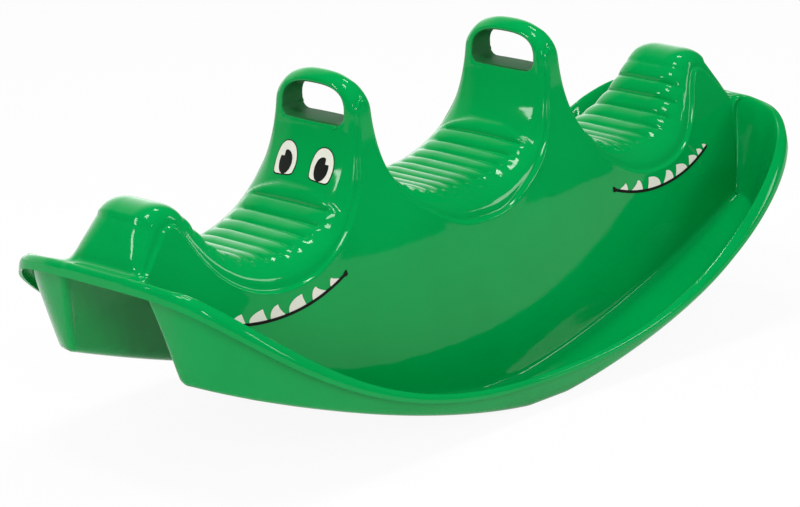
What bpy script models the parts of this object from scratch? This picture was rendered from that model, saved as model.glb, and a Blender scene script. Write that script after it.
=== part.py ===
"""Rocking crocodile for three children: one thin moulding with its printed eyes and mouths.

Metres, +Z up, +X along the length, resting on the ground at z = 0.
The moulding is a sheet draped over a ridge and two footwells, so each quarter is a grid:
stations run along the ridge, lanes run from the crown down the flank and across the footwell,
and rows of the rim follow the outline round the end."""
import bpy
import numpy as np
from mathutils import Vector
from mathutils.bvhtree import BVHTree
from mathutils.geometry import delaunay_2d_cdt

# driving dimensions of the moulding
THICK = 0.0035
HALF_LENGTH = 0.500
HALF_WIDTH = 0.2025
CORNER_POWER = 4.955
RIM_MID_Z = 0.0381
RIM_END_Z = 0.2359
RIM_POWER = 2.365
FLOOR_END_Z = 0.1240
FLOOR_POWER = 1.420
FLAT_HALF = 0.030
FLANGE_SIDE = 0.0095
FLANGE_END = 0.0119
WALL_DRAFT = 0.221
FILLET = 0.007
LIP_MID = 0.0075
LIP_END = 0.0154
FOOT_HALF = 0.1136
LEDGE = 0.004
LEDGE_TOP = 0.002
END_NARROW = 0.225
BUMP_NARROW = 0.205

# driving dimensions of the ridge: seats, handle towers and end bumps
MID_SEAT_Z = 0.2285
END_SEAT_Z = 0.2152
BUMP_SETBACK = 0.0801
BUMP_Z = 0.2931
TOWER_X = 0.1541
TOWER_TOP_Z = 0.3846
TOWER_FOOT_Z = 0.2568
TOWER_HALF = 0.0185
TOWER_ARCH = 0.125
TOWER_BOW = 0.003
HAND_BAR = 0.0141
HOLE_HEIGHT = 0.0395
HOLE_ARCH = 0.027
HOLE_SIDE = 0.0157
HOLE_CORNER = 0.009
FACE_STEP = (0.0325, 0.0147, 0.0045, 0.0, -0.006)

# driving dimensions of the printed trim; MOUTH_SET holds the turn and the drop of a film laid askew
EYE_Y = 0.0275
EYE_Z = 0.2867
EYE_SCALE = 0.93
MOUTH_START = 0.0657
MOUTH_LOWEST = 0.1464
MOUTH_STOP = 0.0087
MOUTH_DROP = 0.0502
MOUTH_SET = {"a_right": (0.12, 0.0050)}
LINE_WIDTH = 0.0034
PRINT_GAP = 0.0004
PRINT_THICK = 0.00025
LAYER_GAP = 0.0002

# sizes that follow from those above
BUMP_X = HALF_LENGTH - BUMP_SETBACK
FLOOR_END_X = HALF_LENGTH - 0.032
END_X = HALF_LENGTH - FLANGE_END
TOWER_BASE_Z = TOWER_FOOT_Z - 0.018
HOLE_TOP = TOWER_TOP_Z - HAND_BAR
HOLE_BOTTOM = HOLE_TOP - HOLE_HEIGHT
HOLE_SHOULDER = HOLE_TOP - HOLE_ARCH
MOUTH_X0 = TOWER_X + MOUTH_START
MOUTH_X1 = BUMP_X - MOUTH_STOP
MOUTH_LOW_X = TOWER_X + MOUTH_LOWEST
MOUTH_LOW_Z = END_SEAT_Z - MOUTH_DROP

# half-width of the flank at mid-length: height, and share of the half-width at its foot
FLANK = [(-0.02, 1.01), (0.0, 1.0), (0.10, 0.954), (0.174, 0.896), (0.20, 0.861), (0.225, 0.806),
         (0.25, 0.741), (0.28, 0.667), (0.305, 0.6185), (0.336, 0.579), (0.36, 0.546), (0.38, 0.509)]

# how finely the grid is divided
LANES = {"crown": 2, "shoulder": 4, "flank": 4, "fillet": 1, "floor": 3, "roll": 3}


def crown_points():
    """Centre line of the ridge from the middle to its end face.

    Each row holds x, z, and the drop and width of the rounded shoulder beside it."""
    foot = TOWER_X - TOWER_HALF - FACE_STEP[0]
    rows = []
    for share, rise, drop, width in ((0.0, 0.0, 0.031, 0.056), (0.335, 0.055, 0.0285, 0.055),
                                     (0.65, 0.288, 0.0190, 0.050), (0.861, 0.603, 0.0145, 0.044)):
        rows.append((foot * share, MID_SEAT_Z + (TOWER_FOOT_Z - MID_SEAT_Z) * rise, drop, width))
    shares = (0.0, 0.205, 0.4526, 0.743, 0.935)
    shoulders = ((0.0125, 0.034), (0.0110, 0.020), (0.008, 0.012), (0.0075, 0.011), (0.0065, 0.015))
    face = []
    for share, step, shoulder in zip(shares, FACE_STEP, shoulders):
        z = TOWER_FOOT_Z + share * (TOWER_TOP_Z - TOWER_FOOT_Z)
        face.append((TOWER_HALF + step, z) + shoulder)
    rows += [(TOWER_X - half, z, drop, width) for half, z, drop, width in face]
    rows.append((TOWER_X, TOWER_TOP_Z, 0.009, 0.020))
    rows += [(TOWER_X + half - 0.0017 * (half > 0.05), z - 0.002 * (half > 0.05), drop, width)
             for half, z, drop, width in face[::-1]]
    start = TOWER_X + 0.048
    hill = TOWER_FOOT_Z - 0.004 - END_SEAT_Z
    for share, rise, drop, width in ((0.067, 0.626, 0.0130, 0.044), (0.170, 0.301, 0.0180, 0.050),
                                     (0.321, 0.072, 0.0260, 0.053), (0.478, 0.0, 0.0285, 0.052)):
        rows.append((start + (BUMP_X - start) * share, END_SEAT_Z + hill * rise, drop, width))
    hill = BUMP_Z - END_SEAT_Z
    for share, rise, drop, width in ((0.62, 0.06, 0.0285, 0.048), (0.741, 0.233, 0.027, 0.044),
                                     (0.839, 0.527, 0.024, 0.038), (0.913, 0.807, 0.020, 0.032),
                                     (1.0, 1.0, 0.017, 0.026)):
        rows.append((start + (BUMP_X - start) * share, END_SEAT_Z + hill * rise, drop, width))
    for x, z in end_face()[:2]:
        rows.append((x, z, 0.014 if x < END_X - 0.025 else 0.012, 0.022 if x < END_X - 0.025 else 0.020))
    return np.array(rows, float)


def end_face():
    """End face of the ridge, from under the bump down to the rim."""
    hill = BUMP_Z - RIM_END_Z
    return [(END_X - 0.0325, RIM_END_Z + 0.887 * hill), (END_X - 0.0215, RIM_END_Z + 0.626 * hill),
            (END_X - 0.0160, RIM_END_Z + 0.452 * hill), (END_X - 0.0108, RIM_END_Z + 0.278 * hill),
            (END_X - 0.004, RIM_END_Z + 0.017 * hill)]


def clear_scene():
    for obj in list(bpy.data.objects):
        bpy.data.objects.remove(obj, do_unlink=True)


def smooth(t):
    t = np.clip(t, 0, 1)
    return t * t * (3 - 2 * t)


def monotone(xs, ys, x):
    """Smooth curve through points that never overshoots them."""
    xs = np.asarray(xs, float)
    ys = np.asarray(ys, float)
    h = np.diff(xs)
    slope = np.diff(ys) / h
    m = np.zeros(len(xs))
    m[0] = slope[0]
    m[-1] = slope[-1]
    for k in range(1, len(xs) - 1):
        if slope[k - 1] * slope[k] > 0:
            w1 = 2 * h[k] + h[k - 1]
            w2 = h[k] + 2 * h[k - 1]
            m[k] = (w1 + w2) / (w1 / slope[k - 1] + w2 / slope[k])
    i = np.clip(np.searchsorted(xs, x, side="right") - 1, 0, len(xs) - 2)
    t = (x - xs[i]) / h[i]
    a = (2 * t**3 - 3 * t**2 + 1) * ys[i] + (t**3 - 2 * t**2 + t) * h[i] * m[i]
    b = (-2 * t**3 + 3 * t**2) * ys[i + 1] + (t**3 - t**2) * h[i] * m[i + 1]
    return a + b


def flank_y(x, z):
    """Half-width of the ridge at a place along it and a height."""
    width = FOOT_HALF * monotone([p[0] for p in FLANK], [p[1] for p in FLANK], z)
    width = width * (1 - END_NARROW * (abs(x) / (HALF_LENGTH - 0.02)) ** 2)
    bump = smooth((abs(x) - BUMP_X + 0.098) / 0.10)
    return width * (1 - BUMP_NARROW * bump * np.clip((z - 0.16) / 0.12, 0, 1))


def rim_z(x):
    return RIM_MID_Z + (RIM_END_Z - RIM_MID_Z) * min(abs(x) / HALF_LENGTH, 1.02) ** RIM_POWER


def floor_z(x):
    """Top of a footwell floor: a rocker curve with a short flat at the middle."""
    rise = FLOOR_END_Z * (abs(x) / FLOOR_END_X) ** FLOOR_POWER
    flat = FLOOR_END_Z * (FLAT_HALF / FLOOR_END_X) ** FLOOR_POWER
    return max(rise - flat, 0) + THICK


def outline(theta, inset):
    a = HALF_LENGTH - inset
    b = HALF_WIDTH - inset
    c = abs(np.cos(theta)) / a
    s = abs(np.sin(theta)) / b
    r = (c**CORNER_POWER + s**CORNER_POWER) ** (-1 / CORNER_POWER)
    return np.array([r * np.cos(theta), r * np.sin(theta)])


def angle_at_x(x, inset):
    a = HALF_LENGTH - inset
    b = HALF_WIDTH - inset
    return np.arctan2(b * (1 - min(x / a, 1) ** CORNER_POWER) ** (1 / CORNER_POWER), x)


def angle_at_y(y, inset):
    a = HALF_LENGTH - inset
    b = HALF_WIDTH - inset
    return np.arctan2(y, a * (1 - min(y / b, 1) ** CORNER_POWER) ** (1 / CORNER_POWER))


def flange(theta):
    return FLANGE_SIDE + (FLANGE_END - FLANGE_SIDE) * np.cos(theta) ** 4


def foot_inset(theta):
    """Inset of the foot of the outer wall from the outline, at its fillet."""
    x = outline(theta, 0)[0]
    depth = rim_z(x) - floor_z(x)
    return flange(theta) + WALL_DRAFT * (depth - FILLET) + FILLET


def lip(x):
    return LIP_MID + (LIP_END - LIP_MID) * (abs(x) / HALF_LENGTH) ** 4


def lowered(x, z, v):
    """Height after the round top of a tower has been taken off towards its sides."""
    if z > TOWER_BASE_Z and abs(x - TOWER_X) < 0.075:
        return TOWER_BASE_Z + (z - TOWER_BASE_Z) * (1 - TOWER_ARCH * v**2.5)
    return z


def station_data():
    """Crown points with the direction that leads into the ridge at each."""
    full = crown_points()
    tangent = np.gradient(full[:, :2], axis=0)
    tangent[0] = (1, 0)
    tangent /= np.linalg.norm(tangent, axis=1)[:, None]
    inward = np.c_[tangent[:, 1], -tangent[:, 0]]
    inward[np.argmax(full[:, 1])] = (0, -1)
    return full, inward


def tower_strip(full, inward):
    """Half-thickness of the flank strip of a tower by height, between its two edge lines."""
    rows = []
    for k in range(int(np.argmax(full[:, 1])) + 1):
        q = full[k, :2] + inward[k] * (full[k, 2] + 0.002)
        if q[0] > 0.1:
            rows.append((q[1], TOWER_X - q[0]))
    return np.array(rows)


def lane_points(x, z, inward, drop, width, floor_x, floor_h, fillet, strip):
    """One station: crown, shoulder, ledge, flank and the fillet at its foot."""
    edge_x = x + inward[0] * drop
    edge_z = lowered(x, z + inward[1] * drop, 1.0)
    ledge = np.interp(edge_z, (TOWER_FOOT_Z, TOWER_TOP_Z - 0.03), (LEDGE, LEDGE_TOP))
    edge_y = flank_y(edge_x, edge_z) - ledge
    bow = TOWER_BOW if abs(x - TOWER_X) < 0.055 and TOWER_BASE_Z < z < TOWER_TOP_Z - 0.015 else 0.0
    points = []
    flat_y = edge_y - width
    for k in range(LANES["crown"] + 1):
        y = flat_y * k / LANES["crown"]
        q = bow * (y / edge_y) ** 2
        points.append((x + inward[0] * q, y, lowered(x, z + inward[1] * q, y / edge_y)))
    for k in range(1, LANES["shoulder"] + 1):
        turn = np.pi / 2 * k / LANES["shoulder"]
        y = flat_y + width * np.sin(turn)
        q = max(drop * (1 - np.cos(turn)), 0) + bow * (y / edge_y) ** 2 * (1 - k / LANES["shoulder"])
        points.append((x + inward[0] * q, y, lowered(x, z + inward[1] * q, y / edge_y)))
    start_x = x + inward[0] * (drop + 0.002)
    start_z = min(lowered(x, z + inward[1] * (drop + 0.002), 1.0), edge_z - 0.0006)
    turn_z = min(0.18, start_z - 0.002)
    foot_z = floor_h + fillet

    def flank_x(height):
        px = start_x
        away = abs(start_x - TOWER_X)
        if 1e-6 < away < 0.028:
            limit = np.interp(max(height, 0.25), strip[:, 0], strip[:, 1])
            if away < limit:
                power = 1 - 0.42 * np.clip((0.33 - height) / 0.08, 0, 1)
                px = TOWER_X + np.sign(start_x - TOWER_X) * limit * (away / limit) ** power
        t = (turn_z - height) / (turn_z - min(foot_z, turn_z - 0.01))
        return px + (floor_x - px) * smooth(t)

    for k in range(LANES["flank"] + 1):
        h = start_z + (foot_z - start_z) * k / LANES["flank"]
        points.append((flank_x(h), flank_y(flank_x(h), h), h))
    y0 = points[-1][1]
    for k in range(1, LANES["fillet"] + 1):
        turn = np.pi / 2 * k / LANES["fillet"]
        points.append((floor_x, y0 + fillet * (1 - np.cos(turn)), floor_h + fillet * (1 - np.sin(turn))))
    return np.array(points, float)


def quarter_sheet():
    """Top surface of one quarter of the moulding, as points and faces."""
    full, inward = station_data()
    strip = tower_strip(full, inward)
    last = len(full) - 1
    floor_end = HALF_LENGTH - (FLANGE_END + WALL_DRAFT * 0.11 + FILLET)
    even = np.arange(last + 1) / last * floor_end
    floor_x = 0.35 * full[:, 0] / full[-1, 0] * floor_end + 0.65 * even
    body = []
    for i in range(last + 1):
        x, z, drop, width = full[i]
        fx = floor_x[i]
        body.append(lane_points(x, z, inward[i], drop, width, fx, floor_z(fx), FILLET, strip))
    body = np.array(body)
    lanes = body.shape[1]

    # outer foot of the footwell, along the side and then round the end
    corner_t = np.arctan2(HALF_WIDTH - 0.04, HALF_LENGTH - 0.04)
    corner = outline(corner_t, foot_inset(corner_t))
    side_t = []
    for i in range(last + 1):
        gx = floor_x[i] / floor_end * corner[0]
        t = angle_at_x(gx, 0.03)
        for _ in range(8):
            t = angle_at_x(gx, foot_inset(t))
        side_t.append(t)
    side = np.array([outline(t, foot_inset(t)) for t in side_t])
    foot = body[:, -1, :2]
    share = np.arange(LANES["floor"] + 1) / LANES["floor"]
    end_t = []
    for u in share:
        y = foot[-1, 1] + (side[-1, 1] - foot[-1, 1]) * u
        t = angle_at_y(y, 0.045)
        for _ in range(8):
            t = angle_at_y(y, foot_inset(t))
        end_t.append(t)
    end_t[-1] = side_t[-1]
    end = np.array([outline(t, foot_inset(t)) for t in end_t])
    end[0] = foot[-1]
    floor = np.zeros((last + 1, LANES["floor"], 3))
    for i in range(last + 1):
        for k in range(1, LANES["floor"] + 1):
            u = share[k]
            straight = (1 - u) * foot[i] + u * side[i]
            straight_end = (1 - u) * foot[-1] + u * side[-1]
            p = straight + (i / last) ** 4 * (end[k] - straight_end)
            floor[i, k - 1] = (p[0], p[1], floor_z(p[0]))
    grid = np.concatenate([body, floor], axis=1)
    across = grid.shape[1] - 1
    index = np.arange((last + 1) * (across + 1)).reshape(last + 1, across + 1)
    points = [tuple(p) for p in grid.reshape(-1, 3)]
    faces = []
    for i in range(last):
        for j in range(across):
            faces.append((index[i, j], index[i + 1, j], index[i + 1, j + 1], index[i, j + 1]))

    # edge of the grid, from mid-side round the corner to the crown at the end
    loop = [(i, across) for i in range(last + 1)] + [(last, j) for j in range(across - 1, -1, -1)]
    angles = side_t + end_t[:-1][::-1]
    floor_part = last + LANES["floor"]
    rows = wall_rows(grid, loop, angles, floor_part, lanes, full[-1], strip)
    rows += rim_rows(rows[-1], angles[: last + 1], loop, last)
    before = [index[a] for a in loop]
    for row in rows:
        now = list(range(len(points), len(points) + len(row)))
        points += row
        for b in range(len(loop) - 1):
            faces.append((before[b], before[b + 1], now[b + 1], now[b]))
        before = now
    return np.array(points, float), faces


def wall_rows(grid, loop, angles, floor_part, lanes, last_crown, strip):
    """Rows up the outer wall; past the footwell they run up the end face of the ridge."""
    steps = LANES["fillet"] + 1
    ends = np.array(end_face()[1:])
    along = np.r_[0, np.cumsum(np.linalg.norm(np.diff(ends, axis=0), axis=1))]
    rows = []
    for k in range(1, steps + 1):
        row = [None] * len(loop)
        for b in range(floor_part + 1):
            t = angles[b]
            i, j = loop[b]
            top = rim_z(outline(t, 0)[0])
            base = floor_z(grid[i, j, 0])
            depth = top - base
            if k <= LANES["fillet"]:
                turn = np.pi / 2 * k / LANES["fillet"]
                inset = flange(t) + WALL_DRAFT * (depth - FILLET) + FILLET * (1 - np.sin(turn))
                z = base + FILLET * (1 - np.cos(turn))
            else:
                inset = flange(t)
                z = top - 0.005
            p = outline(t, inset)
            row[b] = (p[0], p[1], z)
        part = k / steps
        x = np.interp(part * along[-1], along, ends[:, 0])
        z = np.interp(part * along[-1], along, ends[:, 1])
        drop = last_crown[2] * (1 - part) + 0.004 * part
        width = last_crown[3] * (1 - part) + 0.012 * part
        base = row[floor_part]
        fillet = min(FILLET, max((z - drop - 0.0015 - base[2]) * 0.4, 0.0005))
        lane = lane_points(x, z, (-0.85, -0.52), drop, width, base[0], base[2], fillet, strip)
        for j in range(lanes):
            row[floor_part + lanes - 1 - j] = tuple(lane[j])
        rows.append(row)
    return rows


def rim_rows(inner, side_angles, loop, last):
    """The rolled rim: over the top, down the outside and along the lip."""
    spread = []
    for p in inner[last:][::-1]:
        y = p[1]
        spread.append(y if not spread else max(y, spread[-1] + 0.0035))
    angles = []
    for b in range(len(loop)):
        if b <= last:
            angles.append(side_angles[b])
        else:
            angles.append(angle_at_y(spread[len(loop) - 1 - b], FLANGE_END))
    rows = []
    for k in range(1, LANES["roll"] + 1):
        turn = np.pi * (0.22 + 0.78 * k / LANES["roll"])
        row = []
        for t in angles:
            x = outline(t, 0)[0]
            bead = 0.58 * lip(x)
            p = outline(t, flange(t) * (0.5 + 0.5 * np.cos(turn)))
            row.append((p[0], p[1], rim_z(x) - bead + bead * np.sin(turn)))
        rows.append(row)
    row = []
    for t in angles:
        p = outline(t, -0.0005)
        row.append((p[0], p[1], rim_z(outline(t, 0)[0]) - lip(p[0])))
    rows.append(row)
    return rows


def four_quarters(points, faces):
    """Mirrors a quarter about both middle planes and welds the seams."""
    all_points = []
    all_faces = []
    for sx, sy in ((1, 1), (-1, 1), (-1, -1), (1, -1)):
        start = len(all_points) * len(points)
        all_points.append(points * np.array([sx, sy, 1]))
        for face in faces:
            moved = [a + start for a in face]
            all_faces.append(moved if sx * sy > 0 else moved[::-1])
    stacked = np.vstack(all_points)
    welded, back = np.unique(np.round(stacked, 6) + 0.0, axis=0, return_inverse=True)
    back = back.reshape(-1)
    kept = []
    for face in all_faces:
        ring = []
        for a in face:
            if not ring or ring[-1] != back[a]:
                ring.append(int(back[a]))
        if ring[0] == ring[-1]:
            ring.pop()
        if len(set(ring)) == 4:
            across = np.linalg.norm(welded[ring[0]] - welded[ring[2]])
            other = np.linalg.norm(welded[ring[1]] - welded[ring[3]])
            if across > other:
                ring = ring[1:] + ring[:1]
            kept += [(ring[0], ring[1], ring[2]), (ring[0], ring[2], ring[3])]
        elif len(set(ring)) == 3:
            kept.append(tuple(ring))
    return welded, kept


def vertex_normals(points, faces):
    normals = np.zeros_like(points)
    for face in faces:
        for k in range(len(face)):
            u = points[face[k - 1]] - points[face[k]]
            v = points[face[(k + 1) % len(face)]] - points[face[k]]
            lu = np.linalg.norm(u)
            lv = np.linalg.norm(v)
            n = np.cross(v, u)
            size = np.linalg.norm(n)
            if size > 1e-14:
                normals[face[k]] += n / size * np.arccos(np.clip(u @ v / lu / lv, -1, 1))
    return normals / np.linalg.norm(normals, axis=1)[:, None]


def thickened(points, faces):
    """Closed solid with the sheet's thickness added below and inside the top surface."""
    under = points - vertex_normals(points, faces) * THICK
    under[:, 2] = np.where(under[:, 2] < 0.0002, 0.0, under[:, 2])
    count = len(points)
    used = {}
    for face in faces:
        for k in range(len(face)):
            used[(face[k - 1], face[k])] = True
    closed = list(faces) + [[a + count for a in face[::-1]] for face in faces]
    for a, b in used:
        if (b, a) not in used:
            closed.append([b, a, a + count, b + count])
    return np.vstack([points, under]), closed


def mesh_object(name, points, faces, place=(0.0, 0.0, 0.0)):
    """Object at a place of its own, with its points measured from there."""
    mesh = bpy.data.meshes.new(name)
    mesh.from_pydata([tuple(np.subtract(p, place)) for p in points], [], [tuple(f) for f in faces])
    mesh.update()
    obj = bpy.data.objects.new(name, mesh)
    obj.location = place
    obj.parent = bpy.data.objects["rocking_crocodile"]
    bpy.context.scene.collection.objects.link(obj)
    return obj


def hide_helper(obj):
    obj.hide_render = True
    obj.display_type = "WIRE"


def hole_outline(grow):
    """D shape of a hand hole in y and z, flat below and arched above."""
    half = flank_y(TOWER_X, (HOLE_TOP + HOLE_BOTTOM) / 2) - HOLE_SIDE + grow
    bottom = HOLE_BOTTOM - grow
    corner = HOLE_CORNER + grow
    rise = HOLE_TOP - HOLE_SHOULDER + grow
    points = []
    for turn in (-90, -60, -30, 0):
        a = np.radians(turn)
        points.append((half - corner + corner * np.cos(a), bottom + corner + corner * np.sin(a)))
    for t in (0.02, 0.12, 0.28, 0.48, 0.72, 0.9):
        a = np.pi / 2 * t
        power = 2 / 2.6
        points.append((half * np.cos(a) ** power, HOLE_SHOULDER + rise * np.sin(a) ** power))
    return points + [(0.0, HOLE_SHOULDER + rise)] + [(-y, z) for y, z in points[::-1]]


def face_x(y, z, outward):
    """Distance of a tower's face from its middle plane."""
    full = crown_points()
    raised = TOWER_BASE_Z + (z - TOWER_BASE_Z) / (1 - TOWER_ARCH * (abs(y) / 0.058) ** 2.5)
    bow = TOWER_BOW * (y / 0.058) ** 2
    top = int(np.argmax(full[:, 1]))
    if outward:
        side = full[top + 1: top + 6][::-1]
        return np.interp(raised, side[:, 1], side[:, 0]) - TOWER_X - bow
    side = full[top - 5: top]
    return TOWER_X - np.interp(raised, side[:, 1], side[:, 0]) - bow


def hole_plug(name, side):
    """Solid block whose wall becomes the tunnel; its ends stop inside the tower's two faces."""
    outer = hole_outline(THICK)
    inner = hole_outline(-0.003)
    points = []
    for outward in (False, True):
        sign = 1 if outward else -1
        for ring in (outer, inner):
            for y, z in ring:
                reach = face_x(y, z, outward) - THICK * 0.5
                points.append((side * (TOWER_X + sign * reach), y, z))
        points.append((side * (TOWER_X + sign * 0.012), 0.0, 0.340))
    n = len(outer)
    step = 2 * n + 1
    faces = []
    for k in range(n):
        m = (k + 1) % n
        faces.append((k, m, m + step, k + step))
        for start, flip in ((0, False), (step, True)):
            quad = (start + k, start + n + k, start + n + m, start + m)
            fan = (start + n + k, start + 2 * n, start + n + m)
            faces.append(quad[::-1] if flip else quad)
            faces.append(fan[::-1] if flip else fan)
    if side < 0:
        faces = [f[::-1] for f in faces]
    obj = mesh_object(name, points, faces)
    hide_helper(obj)
    return obj


def hole_cutter(name, side):
    ring = hole_outline(0.0)
    n = len(ring)
    points = [(side * (TOWER_X - 0.05), y, z) for y, z in ring]
    points += [(side * (TOWER_X + 0.05), y, z) for y, z in ring]
    faces = [(k, (k + 1) % n, (k + 1) % n + n, k + n) for k in range(n)]
    faces += [tuple(range(n))[::-1], tuple(range(n, 2 * n))]
    if side < 0:
        faces = [f[::-1] for f in faces]
    obj = mesh_object(name, points, faces)
    hide_helper(obj)
    return obj


def add_boolean(obj, other, operation):
    cut = obj.modifiers.new(operation.lower(), "BOOLEAN")
    cut.operation = operation
    cut.object = other
    cut.solver = "EXACT"


def facing_out(obj):
    """Turns a helper's faces outwards if they point in."""
    mesh = obj.data
    mesh.calc_loop_triangles()
    volume = 0.0
    for tri in mesh.loop_triangles:
        a, b, c = [mesh.vertices[v].co for v in tri.vertices]
        volume += a.dot(b.cross(c))
    if volume < 0:
        mesh.flip_normals()
    return obj


def ring_points(shape, steps):
    """Evenly walks a closed outline so that prints bend with the surface below."""
    out = []
    for k in range(len(shape)):
        a = np.array(shape[k])
        b = np.array(shape[(k + 1) % len(shape)])
        n = max(1, int(np.ceil(np.linalg.norm(b - a) / steps)))
        for m in range(n):
            out.append(tuple(a + (b - a) * m / n))
    return out


def eye_shape(grow):
    """White of an eye about its centre: a dome on a slanting base. First number is outward."""
    base = [(-15.0, -18.0), (0, -19.4), (15.0, -20.6), (17.2, -13), (18.0, -5), (16.8, 4), (13.4, 12.2),
            (7.6, 17.6), (0, 19.6), (-7.6, 17.6), (-13.4, 12.2), (-16.8, 4), (-18.0, -5), (-17.0, -12)]
    scale = EYE_SCALE + grow / 0.018
    return [(p * 0.001 * scale, q * 0.001 * scale) for p, q in base]


def pupil_shape():
    """Pupil of an eye: an oval standing on the base of the white, stepped at its upper outside."""
    shape = []
    notched = False
    for k in range(20):
        turn = 2 * np.pi * k / 20 - np.pi / 2
        p = 10.5 * np.cos(turn)
        q = -5.4 + 13.4 * np.sin(turn)
        if p > 4.0 and q > 0.0:
            if not notched:
                shape += [(9.7, -0.2), (4.2, 0.0), (4.0, 5.6)]
            notched = True
            continue
        shape.append((p, q))
    scale = 0.001 * EYE_SCALE
    return [(p * scale, q * scale) for p, q in shape]


def mouth_z(x):
    u = x - MOUTH_LOW_X
    return MOUTH_LOW_Z + (2.35 if u < 0 else 2.05) * u * u


# where each tooth starts, stops and has its tip, as shares of the mouth, and its height
TEETH = [(0.051, 0.133, 0.113, 0.0094), (0.166, 0.278, 0.236, 0.0130), (0.329, 0.460, 0.346, 0.0146),
         (0.486, 0.595, 0.527, 0.0148), (0.620, 0.747, 0.635, 0.0142), (0.772, 0.868, 0.781, 0.0122),
         (0.889, 0.936, 0.876, 0.0102), (0.959, 0.988, 0.948, 0.0078)]


def teeth_shape():
    """White print behind the mouth line: a strip hidden by the line, with the teeth standing on it."""
    length = MOUTH_X1 - MOUTH_X0
    hidden = LINE_WIDTH * 0.3
    lower = []
    for k in range(23):
        x = MOUTH_X0 + length * (0.03 + 0.96 * k / 22)
        lower.append((x, mouth_z(x) - hidden))
    upper = []
    for start, stop, tip, height in TEETH:
        left = MOUTH_X0 + length * start
        right = MOUTH_X0 + length * stop
        top = MOUTH_X0 + length * tip
        zl = mouth_z(left) + hidden
        zr = mouth_z(right) + hidden
        zt = mouth_z(top) + height
        upper += [(left, zl), (left + 0.67 * (top - left), zl + 0.5 * (zt - zl)), (top, zt)]
        for turn in np.radians((30, 60)):
            upper.append((top + (right - top) * np.sin(turn), zr + (zt - zr) * np.cos(turn) ** 0.85))
        upper.append((right, zr))
    return lower + upper[::-1]


def mouth_line_shape():
    """Black line of the mouth with a short tick at its inner end."""
    upper = []
    lower = []
    count = 22
    for k in range(count + 1):
        x = MOUTH_X0 + (MOUTH_X1 - MOUTH_X0) * k / count
        slope = (mouth_z(x + 0.001) - mouth_z(x - 0.001)) / 0.002
        n = np.array([-slope, 1]) / np.hypot(slope, 1)
        half = LINE_WIDTH / 2 * (1 if k < count else 0.5)
        upper.append(tuple(np.array([x, mouth_z(x)]) + n * half))
        lower.append(tuple(np.array([x, mouth_z(x)]) - n * half))
    x, z = MOUTH_X0, mouth_z(MOUTH_X0)
    tick = [(x + 0.0004, z - 0.0034), (x - 0.0020, z - 0.0020), (x - 0.0012, z + 0.0036),
            (x + 0.0014, z + 0.0030)]
    return lower[1:] + upper[1:][::-1] + tick[::-1]


def inside(shape, p, q):
    """Whether a point lies within a closed outline."""
    found = False
    for k in range(len(shape)):
        x0, y0 = shape[k - 1]
        x1, y1 = shape[k]
        if (y0 > q) != (y1 > q) and p < x0 + (q - y0) / (y1 - y0) * (x1 - x0):
            found = not found
    return found


def print_solid(shape, place, layer, spacing):
    """Thin solid laid on the surface; place(p, q) gives the surface point and the way out of it."""
    ring = ring_points(shape, spacing)
    edges = [(k, (k + 1) % len(ring)) for k in range(len(ring))]
    low_p, low_q = np.min(ring, axis=0)
    high_p, high_q = np.max(ring, axis=0)
    for p in np.arange(low_p + spacing / 2, high_p, spacing):
        for q in np.arange(low_q + spacing / 2, high_q, spacing):
            near = min(np.hypot(p - a, q - b) for a, b in ring)
            if near > spacing * 0.45 and inside(ring, p, q):
                ring.append((p, q))
    plane, _, tris, _, _, _ = delaunay_2d_cdt([Vector(p) for p in ring], edges, [], 1, 1e-7)
    low = []
    high = []
    rise = PRINT_GAP + layer * (PRINT_THICK + LAYER_GAP)
    for p, q in plane:
        at, out = place(p, q)
        low.append(at + out * rise)
        high.append(at + out * (rise + PRINT_THICK))
    n = len(plane)
    used = {(t[k - 1], t[k]) for t in tris for k in range(len(t))}
    faces = [tuple(t) for t in tris] + [tuple(v + n for v in t[::-1]) for t in tris]
    for k, m in used:
        if (m, k) not in used:
            faces.append((m, k, k + n, m + n))
    return [tuple(v) for v in low + high], faces


def add_print(name, colour, shape, place, layer, spacing):
    points, faces = print_solid(shape, place, layer, spacing)
    centre = np.round(np.mean(points, axis=0), 4)
    return paint(facing_out(mesh_object(name, points, faces, centre)), colour)


def material(name):
    """Looks of each material: base colour, roughness and metallic value."""
    looks = {"green_plastic": ((0.0, 0.33, 0.07, 1), 0.18, 0.0),
             "print_white": ((0.80, 0.78, 0.70, 1), 0.35, 0.0),
             "print_black": ((0.01, 0.012, 0.01, 1), 0.35, 0.0)}
    made = bpy.data.materials.get(name)
    if made:
        return made
    made = bpy.data.materials.new(name)
    made.use_nodes = True
    shader = made.node_tree.nodes["Principled BSDF"]
    colour, rough, metal = looks[name]
    shader.inputs["Base Color"].default_value = colour
    shader.inputs["Roughness"].default_value = rough
    shader.inputs["Metallic"].default_value = metal
    return made


def paint(obj, name):
    obj.data.materials.append(material(name))
    return obj


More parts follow.
